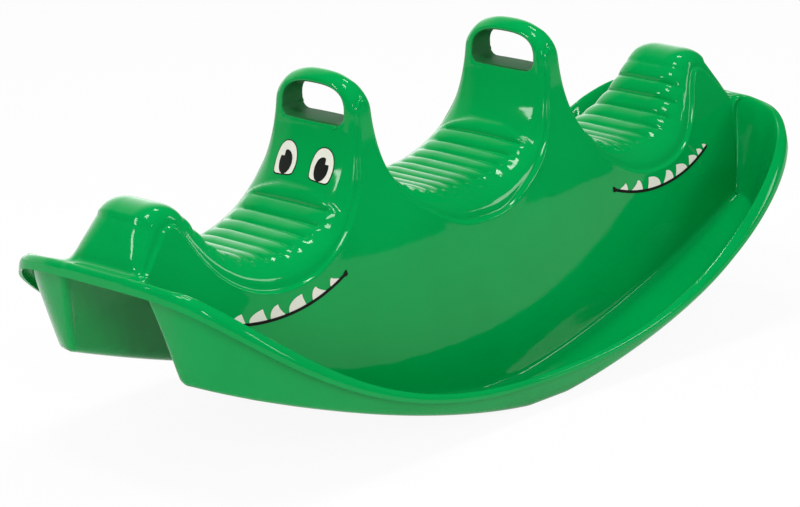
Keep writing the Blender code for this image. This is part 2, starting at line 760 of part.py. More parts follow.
def build_prints(tree):
    """Eyes on the outward face of each tower, and a mouth on each side of each head."""
    for end, end_name in ((-1, "a"), (1, "b")):
        for side, side_name in ((-1, "right"), (1, "left")):

            def on_face(p, q):
                start = Vector((end * (TOWER_X + 0.10), side * (EYE_Y + p), EYE_Z + q))
                hit = tree.ray_cast(start, Vector((-end, 0, 0)))
                return hit[0], Vector((end, 0, 0.15))

            def on_flank(p, q):
                turn, lower = MOUTH_SET.get(f"{end_name}_{side_name}", (0.0, 0.0))
                out = MOUTH_LOW_X + (p - MOUTH_LOW_X) * np.cos(turn) + (q - MOUTH_LOW_Z) * np.sin(turn)
                z = MOUTH_LOW_Z + (q - MOUTH_LOW_Z) * np.cos(turn) - (p - MOUTH_LOW_X) * np.sin(turn) - lower
                hit = tree.ray_cast(Vector((end * out, side * (FOOT_HALF + 0.03), z)), Vector((0, -side, 0)))
                return hit[0], Vector((0, side, 0.3))

            tag = f"{end_name}_{side_name}"
            add_print(f"eye_outline_{tag}", "print_black", eye_shape(0.0), on_face, 0, 0.003)
            add_print(f"eye_white_{tag}", "print_white", eye_shape(-0.0008), on_face, 1, 0.003)
            add_print(f"eye_pupil_{tag}", "print_black", pupil_shape(), on_face, 2, 0.003)
            add_print(f"teeth_{tag}", "print_white", teeth_shape(), on_flank, 0, 0.008)
            add_print(f"mouth_line_{tag}", "print_black", mouth_line_shape(), on_flank, 1, 0.009)


def main():
    clear_scene()
    root = bpy.data.objects.new("rocking_crocodile", None)
    bpy.context.scene.collection.objects.link(root)
    points, faces = four_quarters(*quarter_sheet())
    solid_points, solid_faces = thickened(points, faces)
    shell = paint(mesh_object("shell", solid_points, solid_faces), "green_plastic")
    shell.data.shade_smooth()
    shell.data.set_sharp_from_angle(angle=np.radians(40))
    tree = BVHTree.FromPolygons([tuple(p) for p in points], faces)
    for side, name in ((-1, "a"), (1, "b")):
        plug = hole_plug(f"helper_plug_{name}", side)
        facing_out(plug)
        add_boolean(shell, plug, "UNION")
    for side, name in ((-1, "a"), (1, "b")):
        cutter = hole_cutter(f"helper_cutter_{name}", side)
        facing_out(cutter)
        add_boolean(shell, cutter, "DIFFERENCE")
    build_prints(tree)


main()
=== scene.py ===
"""Looks of the rocking crocodile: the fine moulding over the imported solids, its prints, its finish,
the light and the camera.

Metres, +Z up, +X along the length. The moulding is one sheet, symmetric about x = 0 and y = 0:
a quarter of it is a grid of stations along the ridge and lanes down its side, smoothed by
subdivision, then given its ribs and ledges, its hand holes and its thickness."""

import bpy
import numpy as np
from mathutils import Matrix, Vector
from mathutils.bvhtree import BVHTree
from mathutils.geometry import delaunay_2d_cdt

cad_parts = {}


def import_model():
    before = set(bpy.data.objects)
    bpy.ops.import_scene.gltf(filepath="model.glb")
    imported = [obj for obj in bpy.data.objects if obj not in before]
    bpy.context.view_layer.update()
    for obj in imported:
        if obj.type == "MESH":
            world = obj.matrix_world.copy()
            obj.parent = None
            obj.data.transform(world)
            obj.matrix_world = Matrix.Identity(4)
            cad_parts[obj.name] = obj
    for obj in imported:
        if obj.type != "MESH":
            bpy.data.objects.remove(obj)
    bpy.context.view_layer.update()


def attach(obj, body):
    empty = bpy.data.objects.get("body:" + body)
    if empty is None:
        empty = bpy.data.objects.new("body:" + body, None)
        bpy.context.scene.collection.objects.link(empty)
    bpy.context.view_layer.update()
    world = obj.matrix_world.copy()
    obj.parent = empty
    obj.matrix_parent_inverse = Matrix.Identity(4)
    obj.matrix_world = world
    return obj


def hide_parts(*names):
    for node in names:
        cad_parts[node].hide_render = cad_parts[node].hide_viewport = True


# sizes of the moulding, as the solids have them
THICK = 0.0035
HALF_LENGTH = 0.500
HALF_WIDTH = 0.2025
CORNER_POWER = 4.955
RIM_MID_Z = 0.0381
RIM_END_Z = 0.2359
RIM_POWER = 2.365
RIM_LIMIT = 1.02
FLOOR_END_Z = 0.1240
FLOOR_END_X = HALF_LENGTH - 0.032
FLOOR_POWER = 1.420
FLAT_HALF = 0.030
FLANGE_SIDE = 0.0095
FLANGE_END = 0.0119
WALL_DRAFT = 0.221
WALL_END_DEPTH = 0.11
WALL_TOP_GAP = 0.004
FILLET = 0.007
LIP_MID = 0.0075
LIP_END = 0.0154
LIP_FLARE = 0.0005
BEAD_SHARE = 0.58
ROLL_START = 0.20
END_X = HALF_LENGTH - FLANGE_END

# half-width of the ridge: height and share of the half-width at its foot
FOOT_HALF = 0.1136
FLANK = [(-0.02, 1.01), (0.0, 1.0), (0.10, 0.954), (0.174, 0.896), (0.20, 0.861), (0.225, 0.806),
         (0.25, 0.741), (0.28, 0.667), (0.305, 0.6185), (0.336, 0.579), (0.36, 0.546), (0.38, 0.509)]
END_NARROW = 0.225
NARROW_SETBACK = 0.02
BUMP_NARROW = 0.205
BUMP_NARROW_START = 0.098
BUMP_NARROW_LENGTH = 0.10
BUMP_NARROW_Z = 0.16
BUMP_NARROW_RISE = 0.12

# heights and places along the ridge
MID_SEAT_Z = 0.2285
END_SEAT_Z = 0.2152
BUMP_X = HALF_LENGTH - 0.0801
BUMP_Z = 0.2931
TOWER_X = 0.1541
TOWER_TOP_Z = 0.3846
TOWER_FOOT_Z = 0.2568
TOWER_BASE_Z = TOWER_FOOT_Z - 0.018
TOWER_HALF = 0.0185
TOWER_REACH = 0.075
TOWER_SPACE = 0.1
TOWER_ARCH = 0.125
ARCH_POWER = 2.5
TOWER_BOW = 0.003
BOW_REACH = (0.06, 0.01)
BOW_FOOT = 0.02
BOW_TOP = (0.008, 0.014)

# centre line of the ridge: share of the way, share of the rise, drop and width of the shoulder
MIDDLE_SEAT = [(0.0, 0.0, 0.031, 0.056), (0.335, 0.055, 0.0285, 0.055),
               (0.65, 0.288, 0.0190, 0.050), (0.861, 0.603, 0.0145, 0.044)]
OUTER_FOOT = [(0.067, 0.626, 0.0130, 0.044), (0.170, 0.301, 0.0180, 0.050),
              (0.321, 0.072, 0.0260, 0.053), (0.478, 0.0, 0.0285, 0.052)]
BUMP_SIDE = [(0.62, 0.06, 0.0285, 0.048), (0.741, 0.233, 0.027, 0.044), (0.839, 0.527, 0.024, 0.038),
             (0.913, 0.807, 0.020, 0.032), (1.0, 1.0, 0.017, 0.026)]
OUTER_START = 0.048
OUTER_DOWN = 0.004

# faces of a tower: share of its height, step beyond TOWER_HALF, drop and width of the shoulder
TOWER_FACE = [(0.0, 0.0325, 0.0125, 0.034), (0.205, 0.0147, 0.0110, 0.020), (0.4526, 0.0045, 0.008, 0.012),
              (0.743, 0.0, 0.0075, 0.011), (0.935, -0.006, 0.0065, 0.015)]
CREST_SHOULDER = (0.009, 0.020)
OUTER_FACE_BACK = 0.0017
OUTER_FACE_DOWN = 0.002

# end face of the ridge: setback, share of its height over the rim, and its shoulders
END_FACE = [(0.0325, 0.887), (0.0215, 0.626), (0.0160, 0.452), (0.0108, 0.278), (0.004, 0.017)]
END_SHOULDERS = [(0.018, 0.028), (0.016, 0.028)]
END_INWARD = (-0.85, -0.52)
RIM_SHOULDER = (0.006, 0.020)

# ledge between shoulder and flank, and where the flank starts and turns
LEDGE = 0.004
LEDGE_TOP = 0.002
LEDGE_TOP_BELOW = 0.03
LEDGE_FALL = 0.0006
FLANK_GAP = 0.002
FLANK_TURN_Z = 0.18
FACE_LEVEL_Z = 0.25
STRIP_REACH = (-0.05, 0.055)

# hand holes
HOLE_TOP = TOWER_TOP_Z - 0.0141
HOLE_BOTTOM = HOLE_TOP - 0.0395
HOLE_SHOULDER = HOLE_TOP - 0.027
HOLE_SIDE = 0.0157
HOLE_CORNER = 0.009
HOLE_ROUND = 0.0035
HOLE_ARCH_POWER = 2.6
HOLE_REACH = 0.04

# ribs and pads of the seats
RIB_PITCH = 0.0205
RIB_HEIGHT = 0.0036
RIB_POWER = 0.55
RIB_MIDDLE = 0.6
RIB_HALF_LENGTH = 0.056
RIB_SCALLOP = 0.007
RIB_END = 0.006
RIB_END_FADE = 0.9
RIB_FADE_COUNT = 2.0
RIB_FADE_LENGTH = 1.8
PAD_STEP = 0.0022
PAD_HALF = 0.06
PAD_CURVE = 0.7
PAD_EDGE = (0.12, 0.16)
PAD_TOP_INNER = TOWER_FOOT_Z + 0.014
PAD_TOP_OUTER = TOWER_FOOT_Z + 0.006
PAD_SIDE_LANE = (0.68, 1.6, 2.2)
PAD_OVERLAP = 0.01
BUMP_OVERLAP = 0.04

# eyes: their place in metres, their outlines in millimetres about their middle
EYE_Y = 0.0275
EYE_Z = 0.2867
EYE_SCALE = 0.93
EYE_HALF = 0.018
EYE_OUTLINE = [(-15.0, -18.0), (0, -19.4), (15.0, -20.6), (17.2, -13), (18.0, -5), (16.8, 4), (13.4, 12.2),
               (7.6, 17.6), (0, 19.6), (-7.6, 17.6), (-13.4, 12.2), (-16.8, 4), (-18.0, -5), (-17.0, -12)]
PUPIL_HALF = (10.5, 13.4)
PUPIL_DOWN = 5.4
PUPIL_NOTCH = [(9.9, -0.2), (9.7, 0.3), (4.6, 0.5), (4.1, 1.0), (4.0, 5.6)]
INK_EDGE = 0.0005
WHITE_EDGE = -0.0006

# mouths
MOUTH_X0 = TOWER_X + 0.0657
MOUTH_X1 = BUMP_X - 0.0087
MOUTH_LOW_X = TOWER_X + 0.1464
MOUTH_LOW_Z = END_SEAT_Z - 0.0502
MOUTH_CURVE = (2.35, 2.05)
# turn in radians and drop of the film that is laid askew
MOUTH_SET = {"a_right": (0.12, 0.0050)}
LINE_WIDTH = 0.0034
LINE_TICK = [(0.0014, 0.0030), (-0.0012, 0.0036), (-0.0020, -0.0020), (0.0004, -0.0034)]
# teeth: start, stop and tip as shares of the mouth's length, and height
TEETH = [(0.051, 0.133, 0.113, 0.0094), (0.166, 0.278, 0.236, 0.0130), (0.329, 0.460, 0.346, 0.0146),
         (0.486, 0.595, 0.527, 0.0148), (0.620, 0.747, 0.635, 0.0142), (0.772, 0.868, 0.781, 0.0122),
         (0.889, 0.936, 0.876, 0.0102), (0.959, 0.988, 0.948, 0.0078)]
MOUTH_STEPS = 44
PRINT_RISE = 0.00025
PRINT_SPACING = 0.0025

# how far outside the moulding the rays start that find its surface
FACE_RAY = 0.07
EYE_RAY = 0.10
MOUTH_RAY = 0.03

# how finely the quarter is divided before it is smoothed
DENSE = 4001
TOWER_STATIONS = 11
END_STATIONS = 5
CROWN_LANES = 3
SHOULDER_LANES = 5
FLANK_SHARES = (0.0, 0.06, 0.28, 0.52, 0.76, 0.93, 1.0)
FILLET_LANES = 2
FLOOR_SHARES = (0.08, 0.35, 0.65, 0.92, 1.0)
EVEN_SHARE = 0.65
CORNER_INSET = 0.04
SIDE_INSET = 0.03
END_INSET = 0.045
FOOT_TRIES = 8
ROLL_ROWS = 4
RIM_SPACING = 0.0022
ROW_RUN = 0.01
LEVELS = 2
HOLD_PASSES = 3
HOLD_BELOW = 0.6
JUNCTION_BACK = 0.014
JUNCTION_SIDE = (0.045, 0.11)
SETTLE_LANES = (0.25, 0.75, 0.6, 0.5)
SETTLE_RUN = 0.02
HOLE_STEPS = 240
SHARP_ANGLE = 55

# materials: the colours, and the roughness, between which each one varies
GREEN = ((0.0, 0.325, 0.066, 1), (0.0, 0.365, 0.078, 1))
# painted shade: the darker green laid on the hand holes' walls, where shade falls
GREEN_HOLE_SHADE = (0.010, 0.120, 0.030, 1)
GREEN_ROUGH = (0.05, 0.09)
INSIDE_ROUGH = 0.6
INKS = {"print_white": ((0.88, 0.85, 0.76, 1), (0.84, 0.81, 0.72, 1)),
        "print_black": ((0.006, 0.008, 0.006, 1), (0.010, 0.012, 0.010, 1))}
INK_ROUGH = (0.45, 0.58)

# lamps: place, size and power
LAMPS = {"overhead": ((0.70, 0.35, 2.6), (0.6, 0.35), 14),
         "overhead_left": ((-0.80, 0.15, 2.6), (0.6, 0.5), 20),
         "front": ((-2.2, -3.0, 1.9), (0.40, 1.0), 38),
         "right": ((2.4, -2.6, 1.7), (0.5, 1.1), 18),
         "far": ((-2.6, 1.6, 1.9), (0.3, 0.7), 14)}
LAMP_TARGET = (0, 0, 0.2)
WORLD_LIGHT = 0.48
WORLD_SIDE = (0.30, 0.95, 0.0)
WORLD_RAMP = (0.55, 0.90, 0.06, 2.2)
FLOOR_HALF = 6
FLOOR_GLOW = 0.93

# camera that matches the photograph
CAMERA_AZIMUTH = 45.6716
CAMERA_ELEVATION = 16.5845
CAMERA_ROLL = -1.7751
CAMERA_DISTANCE = 4.2840
CAMERA_OFFSET = (-0.03221, 0.12957)
CAMERA_LIFT = 0.0015
CAMERA_LENS = 167.259
CAMERA_SENSOR = 36
CAMERA_CLIP = 50


def smooth(t):
    t = np.clip(t, 0, 1)
    return t * t * (3 - 2 * t)


def hermite(u, h, start, stop, start_slope, stop_slope):
    """Cubic between two values with given slopes, at the share u of a span of length h."""
    first = (2 * u**3 - 3 * u**2 + 1) * start + (u**3 - 2 * u**2 + u) * h * start_slope
    second = (-2 * u**3 + 3 * u**2) * stop + (u**3 - u**2) * h * stop_slope
    return first + second


def monotone(xs, ys, x):
    """Smooth curve through points that never overshoots them."""
    xs = np.asarray(xs, float)
    ys = np.asarray(ys, float)
    h = np.diff(xs)
    slope = np.diff(ys) / h
    m = np.zeros(len(xs))
    m[0] = slope[0]
    m[-1] = slope[-1]
    for k in range(1, len(xs) - 1):
        if slope[k - 1] * slope[k] > 0:
            w1 = 2 * h[k] + h[k - 1]
            w2 = h[k] + 2 * h[k - 1]
            m[k] = (w1 + w2) / (w1 / slope[k - 1] + w2 / slope[k])
    i = np.clip(np.searchsorted(xs, x, side="right") - 1, 0, len(xs) - 2)
    return hermite((x - xs[i]) / h[i], h[i], ys[i], ys[i + 1], m[i], m[i + 1])


def through(t, values, at, start_slope):
    """Cubic curve through points, with a given slope at its start."""
    n = len(t)
    h = np.diff(t)
    matrix = np.zeros((n, n))
    right = np.zeros((n, values.shape[1]))
    matrix[0, 0] = 1
    matrix[-1, -1] = 1
    right[0] = start_slope
    right[-1] = (values[-1] - values[-2]) / h[-1]
    for k in range(1, n - 1):
        matrix[k, k - 1] = h[k]
        matrix[k, k] = 2 * (h[k - 1] + h[k])
        matrix[k, k + 1] = h[k - 1]
        before = h[k] * (values[k] - values[k - 1]) / h[k - 1]
        after = h[k - 1] * (values[k + 1] - values[k]) / h[k]
        right[k] = 3 * (before + after)
    m = np.linalg.solve(matrix, right)
    i = np.clip(np.searchsorted(t, at, side="right") - 1, 0, n - 2)
    u = ((at - t[i]) / h[i])[:, None]
    return hermite(u, h[i][:, None], values[i], values[i + 1], m[i], m[i + 1])


def end_face():
    """End face of the ridge, from under the bump down to the rim: x and z."""
    hill = BUMP_Z - RIM_END_Z
    return [(END_X - back, RIM_END_Z + share * hill) for back, share in END_FACE]


def crown_points():
    """Centre line of the ridge: x, z, and the drop and width of the rounded shoulder beside it."""
    inner_foot = TOWER_X - TOWER_HALF - TOWER_FACE[0][1]
    rise = TOWER_FOOT_Z - MID_SEAT_Z
    rows = []
    for share, part, drop, width in MIDDLE_SEAT:
        rows.append((inner_foot * share, MID_SEAT_Z + rise * part, drop, width))
    face = []
    for share, step, drop, width in TOWER_FACE:
        face.append((TOWER_HALF + step, TOWER_FOOT_Z + share * (TOWER_TOP_Z - TOWER_FOOT_Z), drop, width))
    rows += [(TOWER_X - half, z, drop, width) for half, z, drop, width in face]
    rows.append((TOWER_X, TOWER_TOP_Z) + CREST_SHOULDER)
    rows += [(TOWER_X + half, z, drop, width) for half, z, drop, width in face[:0:-1]]
    half, z, drop, width = face[0]
    rows.append((TOWER_X + half - OUTER_FACE_BACK, z - OUTER_FACE_DOWN, drop, width))
    start = TOWER_X + OUTER_START
    outer_rise = TOWER_FOOT_Z - OUTER_DOWN - END_SEAT_Z
    for table, rise in ((OUTER_FOOT, outer_rise), (BUMP_SIDE, BUMP_Z - END_SEAT_Z)):
        for share, part, drop, width in table:
            rows.append((start + (BUMP_X - start) * share, END_SEAT_Z + rise * part, drop, width))
    rows += [place + shoulder for place, shoulder in zip(end_face(), END_SHOULDERS)]
    return np.array(rows, float)


def path_length(points):
    """Distance along a line of points from its first one."""
    return np.r_[0, np.cumsum(np.linalg.norm(np.diff(points, axis=0), axis=1))]


def fine_crown():
    """Stations close enough for the ribs: two to a rib on the seats, others about as far apart.

    Gives the rows of the crown, the way into the ridge at each, their run along it, and the pads:
    where the inner one ends and its count of ribs, where the outer one starts and its count, and
    where the bump is."""
    points = crown_points()
    run = path_length(points[:, :2])
    dense = through(run, points, np.linspace(0, run[-1], DENSE), np.array([1.0, 0, 0, 0]))
    arc = path_length(dense[:, :2])
    crest = int(np.argmax(dense[:, 1]))
    inner_pad = arc[:crest][np.argmin(np.abs(dense[:crest, 1] - PAD_TOP_INNER))]
    outer = np.arange(len(dense)) > crest
    below = outer & (dense[:, 1] < PAD_TOP_OUTER) & (dense[:, 0] < TOWER_X + TOWER_SPACE)
    outer_pad = arc[below][0]
    bump = arc[np.argmin(np.abs(dense[:, 0] - BUMP_X))]
    inner_ribs = round(inner_pad / RIB_PITCH - 0.5) + 0.5
    outer_ribs = round((bump - outer_pad) / RIB_PITCH)
    stations = list(np.linspace(0, inner_pad, int(2 * inner_ribs) + 1))
    spans = [(inner_pad, arc[crest], TOWER_STATIONS), (arc[crest], outer_pad, TOWER_STATIONS),
             (outer_pad, bump, 2 * outer_ribs + 1), (bump, arc[-1], END_STATIONS)]
    for start, stop, count in spans:
        stations += list(np.linspace(start, stop, count))[1:]
    stations = np.array(stations)
    rows = np.stack([np.interp(stations, arc, dense[:, k]) for k in range(4)], 1)
    tangent = np.stack([np.interp(stations, arc, np.gradient(dense[:, k], arc)) for k in range(2)], 1)
    tangent /= np.linalg.norm(tangent, axis=1)[:, None]
    inward = np.c_[tangent[:, 1], -tangent[:, 0]]
    return rows, inward, stations, (inner_pad, inner_ribs, outer_pad, outer_ribs, bump)


def flank_y(x, z):
    """Half-width of the ridge at a place along it and a height."""
    width = FOOT_HALF * monotone([p[0] for p in FLANK], [p[1] for p in FLANK], z)
    width = width * (1 - END_NARROW * (abs(x) / (HALF_LENGTH - NARROW_SETBACK)) ** 2)
    bump = smooth((abs(x) - BUMP_X + BUMP_NARROW_START) / BUMP_NARROW_LENGTH)
    return width * (1 - BUMP_NARROW * bump * np.clip((z - BUMP_NARROW_Z) / BUMP_NARROW_RISE, 0, 1))


def rim_z(x):
    return RIM_MID_Z + (RIM_END_Z - RIM_MID_Z) * min(abs(x) / HALF_LENGTH, RIM_LIMIT) ** RIM_POWER


def floor_z(x):
    """Top of a footwell floor: a rocker curve with a short flat at the middle."""
    rise = FLOOR_END_Z * (abs(x) / FLOOR_END_X) ** FLOOR_POWER
    flat = FLOOR_END_Z * (FLAT_HALF / FLOOR_END_X) ** FLOOR_POWER
    return max(rise - flat, 0) + THICK


def outline(theta, inset):
    """Point of the outline seen from above, moved in by an inset."""
    c = abs(np.cos(theta)) / (HALF_LENGTH - inset)
    s = abs(np.sin(theta)) / (HALF_WIDTH - inset)
    r = (c**CORNER_POWER + s**CORNER_POWER) ** (-1 / CORNER_POWER)
    return np.array([r * np.cos(theta), r * np.sin(theta)])


def angle_at_x(x, inset):
    a = HALF_LENGTH - inset
    b = HALF_WIDTH - inset
    return np.arctan2(b * (1 - min(x / a, 1) ** CORNER_POWER) ** (1 / CORNER_POWER), x)


def angle_at_y(y, inset):
    a = HALF_LENGTH - inset
    b = HALF_WIDTH - inset
    return np.arctan2(y, a * (1 - min(y / b, 1) ** CORNER_POWER) ** (1 / CORNER_POWER))


def flange(theta):
    return FLANGE_SIDE + (FLANGE_END - FLANGE_SIDE) * np.cos(theta) ** 4


def foot_inset(theta):
    """Inset of the foot of the outer wall from the outline, at its fillet."""
    x = outline(theta, 0)[0]
    depth = rim_z(x) - floor_z(x)
    return flange(theta) + WALL_DRAFT * (depth - FILLET) + FILLET


def foot_angle(angle_at, place, first_inset):
    """Angle at which the foot of the outer wall reaches a given x or y, found by repeated tries."""
    t = angle_at(place, first_inset)
    for _ in range(FOOT_TRIES):
        t = angle_at(place, foot_inset(t))
    return t


def lip(x):
    return LIP_MID + (LIP_END - LIP_MID) * (abs(x) / HALF_LENGTH) ** 4


def lowered(x, z, v):
    """Height after the round top of a tower has been taken off towards its sides."""
    if z > TOWER_BASE_Z and abs(x - TOWER_X) < TOWER_REACH:
        return TOWER_BASE_Z + (z - TOWER_BASE_Z) * (1 - TOWER_ARCH * v**ARCH_POWER)
    return z


def flank_start(x, z, inward, drop):
    """Where the flank starts below the rounded shoulder: x and z."""
    start_x = x + inward[0] * (drop + FLANK_GAP)
    edge_z = lowered(x, z + inward[1] * drop, 1.0)
    return start_x, min(lowered(x, z + inward[1] * (drop + FLANK_GAP), 1.0), edge_z - LEDGE_FALL)


def tower_strips(full, inward, stations):
    """Edges of the flank strip of a tower, inner and outer: height, half-thickness, run from the crest."""
    crest = int(np.argmax(full[:, 1]))
    strips = []
    for order, reach in zip((range(crest, -1, -1), range(crest, len(full))), STRIP_REACH):
        rows = []
        for k in order:
            x, z = flank_start(full[k, 0], full[k, 1], inward[k], full[k, 2])
            if (x - TOWER_X) / reach > 1 or (rows and z > rows[-1][0] - 1e-4):
                break
            rows.append((z, abs(x - TOWER_X), abs(stations[k] - stations[crest])))
        strips.append(np.array(rows[::-1]))
    return strips, stations[crest]


def bow_at(x, z):
    """How far a tower's face is bowed in at its sides."""
    near = smooth((BOW_REACH[0] - abs(x - TOWER_X)) / BOW_REACH[1])
    below_top = smooth((TOWER_TOP_Z - BOW_TOP[0] - z) / BOW_TOP[1])
    return TOWER_BOW * (near * smooth((z - TOWER_BASE_Z) / BOW_FOOT)) * below_top


def lane_points(row, inward, run, strips, floor_x, floor_h, fillet):
    """One station: crown, shoulder, ledge, flank and the fillet at its foot."""
    x, z, drop, width = row
    edge_x = x + inward[0] * drop
    edge_z = lowered(x, z + inward[1] * drop, 1.0)
    ledge = np.interp(edge_z, (TOWER_FOOT_Z, TOWER_TOP_Z - LEDGE_TOP_BELOW), (LEDGE, LEDGE_TOP))
    edge_y = flank_y(edge_x, edge_z) - ledge
    bow = bow_at(x, z)
    points = []
    flat_y = edge_y - width
    for k in range(CROWN_LANES + 1):
        y = flat_y * k / CROWN_LANES
        q = bow * (y / edge_y) ** 2
        points.append((x + inward[0] * q, y, lowered(x, z + inward[1] * q, y / edge_y)))
    for k in range(1, SHOULDER_LANES + 1):
        turn = np.pi / 2 * k / SHOULDER_LANES
        y = flat_y + width * np.sin(turn)
        q = drop * (1 - np.cos(turn)) + bow * (y / edge_y) ** 2 * (1 - k / SHOULDER_LANES)
        points.append((x + inward[0] * q, y, lowered(x, z + inward[1] * q, y / edge_y)))
    start_x, start_z = flank_start(x, z, inward, drop)
    turn_z = min(FLANK_TURN_Z, start_z - 0.002)
    foot_z = floor_h + fillet
    edges, crest_run = strips
    strip = edges[int(run > crest_run)]

    def flank_x(height):
        px = start_x
        level = max(height, FACE_LEVEL_Z)
        length = np.interp(level, strip[:, 0], strip[:, 2])
        if abs(run - crest_run) < length:
            half = np.interp(level, strip[:, 0], strip[:, 1])
            px = TOWER_X + (run - crest_run) / length * half
        t = (turn_z - height) / (turn_z - min(foot_z, turn_z - 0.01))
        return px + (floor_x - px) * smooth(t)

    for share in FLANK_SHARES:
        h = start_z + (foot_z - start_z) * share
        points.append((flank_x(h), flank_y(flank_x(h), h), h))
    y0 = points[-1][1]
    for k in range(1, FILLET_LANES + 1):
        turn = np.pi / 2 * k / FILLET_LANES
        points.append((floor_x, y0 + fillet * (1 - np.cos(turn)), floor_h + fillet * (1 - np.sin(turn))))
    return np.array(points, float)


def floor_grid(foot, side_t, end_t):
    """Floor of the footwell between the foot of the ridge and the foot of the outer wall."""
    last = len(foot) - 1
    side = np.array([outline(t, foot_inset(t)) for t in side_t])
    end = np.array([outline(t, foot_inset(t)) for t in end_t])
    share = np.array((0.0,) + FLOOR_SHARES)
    floor = np.zeros((last + 1, len(FLOOR_SHARES), 3))
    for i in range(last + 1):
        for k in range(1, len(share)):
            straight = (1 - share[k]) * foot[i] + share[k] * side[i]
            straight_end = (1 - share[k]) * foot[-1] + share[k] * side[-1]
            p = straight + (i / last) ** 4 * (end[k] - straight_end)
            floor[i, k - 1] = (p[0], p[1], floor_z(p[0]))
    return floor


def wall_angles(floor_x, floor_end, foot):
    """Angles of the outer wall's foot beside each station, and past the end of the footwell."""
    corner_t = np.arctan2(HALF_WIDTH - CORNER_INSET, HALF_LENGTH - CORNER_INSET)
    corner_x = outline(corner_t, foot_inset(corner_t))[0]
    side_t = [foot_angle(angle_at_x, x / floor_end * corner_x, SIDE_INSET) for x in floor_x]
    side_y = outline(side_t[-1], foot_inset(side_t[-1]))[1]
    end_y = [foot[1] + (side_y - foot[1]) * share for share in (0.0,) + FLOOR_SHARES]
    end_t = [foot_angle(angle_at_y, y, END_INSET) for y in end_y]
    end_t[-1] = side_t[-1]
    return side_t, end_t


def quarter_cage():
    """Grid of one quarter of the moulding: points, faces, each point's run and lane, and the pads."""
    full, inward, stations, pads = fine_crown()
    strips = tower_strips(full, inward, stations)
    last = len(full) - 1
    floor_end = HALF_LENGTH - (FLANGE_END + WALL_DRAFT * WALL_END_DEPTH + FILLET)
    even = np.arange(last + 1) / last * floor_end
    floor_x = (1 - EVEN_SHARE) * full[:, 0] / full[-1, 0] * floor_end + EVEN_SHARE * even
    body = []
    for i, x in enumerate(floor_x):
        body.append(lane_points(full[i], inward[i], stations[i], strips, x, floor_z(x), FILLET))
    body = np.array(body)
    side_t, end_t = wall_angles(floor_x, floor_end, body[-1, -1])
    grid = np.concatenate([body, floor_grid(body[:, -1, :2], side_t, end_t)], axis=1)
    across = grid.shape[1] - 1
    index = np.arange((last + 1) * (across + 1)).reshape(last + 1, across + 1)
    points = [tuple(p) for p in grid.reshape(-1, 3)]
    runs = list(np.repeat(stations, across + 1))
    lane_of = list(np.tile(np.arange(across + 1), last + 1))
    faces = []
    for i in range(last):
        for j in range(across):
            faces.append((index[i, j], index[i + 1, j], index[i + 1, j + 1], index[i, j + 1]))

    loop = [(i, across) for i in range(last + 1)] + [(last, j) for j in range(across - 1, -1, -1)]
    angles = side_t + end_t[:-1][::-1]
    floor_part = last + len(FLOOR_SHARES)
    bases = [floor_z(grid[i, j, 0]) for i, j in loop[: floor_part + 1]]
    rows = wall_rows(bases, angles, len(loop), full[-1], stations[-1], strips)
    rows += rim_rows(rows[-1], angles[: last + 1], last)
    before = [index[a] for a in loop]
    for number, row in enumerate(rows):
        now = list(range(len(points), len(points) + len(row)))
        points += row
        runs += [stations[-1] + ROW_RUN * (number + 1)] * len(row)
        lane_of += [j if b > floor_part else across for b, (_, j) in enumerate(loop)]
        for b in range(len(loop) - 1):
            faces.append((before[b], before[b + 1], now[b + 1], now[b]))
        before = now
    return np.array(points, float), faces, np.array(runs, float), np.array(lane_of, float), pads


def wall_rows(bases, angles, size, last_crown, last_run, strips):
    """Rows up the outer wall; past the footwell they run up the end face of the ridge."""
    ends = np.array(end_face()[1:])
    along = path_length(ends)
    floor_part = len(bases) - 1
    steps = FILLET_LANES + 2
    rows = []
    for k in range(1, steps + 1):
        row = [None] * size
        for b, base in enumerate(bases):
            t = angles[b]
            top = rim_z(outline(t, 0)[0])
            depth = top - base
            if k <= FILLET_LANES:
                turn = np.pi / 2 * k / FILLET_LANES
                inset = flange(t) + WALL_DRAFT * (depth - FILLET) + FILLET * (1 - np.sin(turn))
                z = base + FILLET * (1 - np.cos(turn))
            elif k == FILLET_LANES + 1:
                inset = flange(t) + WALL_DRAFT * (depth - FILLET) * 0.5
                z = base + FILLET + (depth - FILLET - WALL_TOP_GAP) * 0.5
            else:
                inset = flange(t)
                z = top - WALL_TOP_GAP
            row[b] = tuple(outline(t, inset)) + (z,)
        part = k / steps
        x = np.interp(part * along[-1], along, ends[:, 0])
        z = np.interp(part * along[-1], along, ends[:, 1])
        drop = last_crown[2] * (1 - part) + RIM_SHOULDER[0] * part
        width = last_crown[3] * (1 - part) + RIM_SHOULDER[1] * part
        base = row[floor_part]
        fillet = min(FILLET, max((z - drop - 0.0015 - base[2]) * 0.4, 0.0005))
        lane = lane_points((x, z, drop, width), END_INWARD, last_run, strips, base[0], base[2], fillet)
        for j, point in enumerate(lane):
            row[floor_part + len(lane) - 1 - j] = tuple(point)
        rows.append(row)
    return rows


def rim_rows(inner, side_angles, last):
    """The rolled rim: over the top, down the outside and along the lip."""
    spaced = []
    for p in inner[last:][::-1]:
        spaced.append(p[1] if not spaced else max(p[1], spaced[-1] + RIM_SPACING))
    angles = side_angles + [angle_at_y(y, FLANGE_END) for y in spaced[:-1][::-1]]
    rows = []
    for k in range(1, ROLL_ROWS + 1):
        turn = np.pi * (ROLL_START + (1 - ROLL_START) * k / ROLL_ROWS)
        row = []
        for t in angles:
            x = outline(t, 0)[0]
            bead = BEAD_SHARE * lip(x)
            p = outline(t, flange(t) * (0.5 + 0.5 * np.cos(turn)))
            row.append((p[0], p[1], rim_z(x) - bead + bead * np.sin(turn)))
        rows.append(row)
    row = []
    for t in angles:
        p = outline(t, -LIP_FLARE)
        row.append((p[0], p[1], rim_z(outline(t, 0)[0]) - lip(p[0])))
    rows.append(row)
    return rows


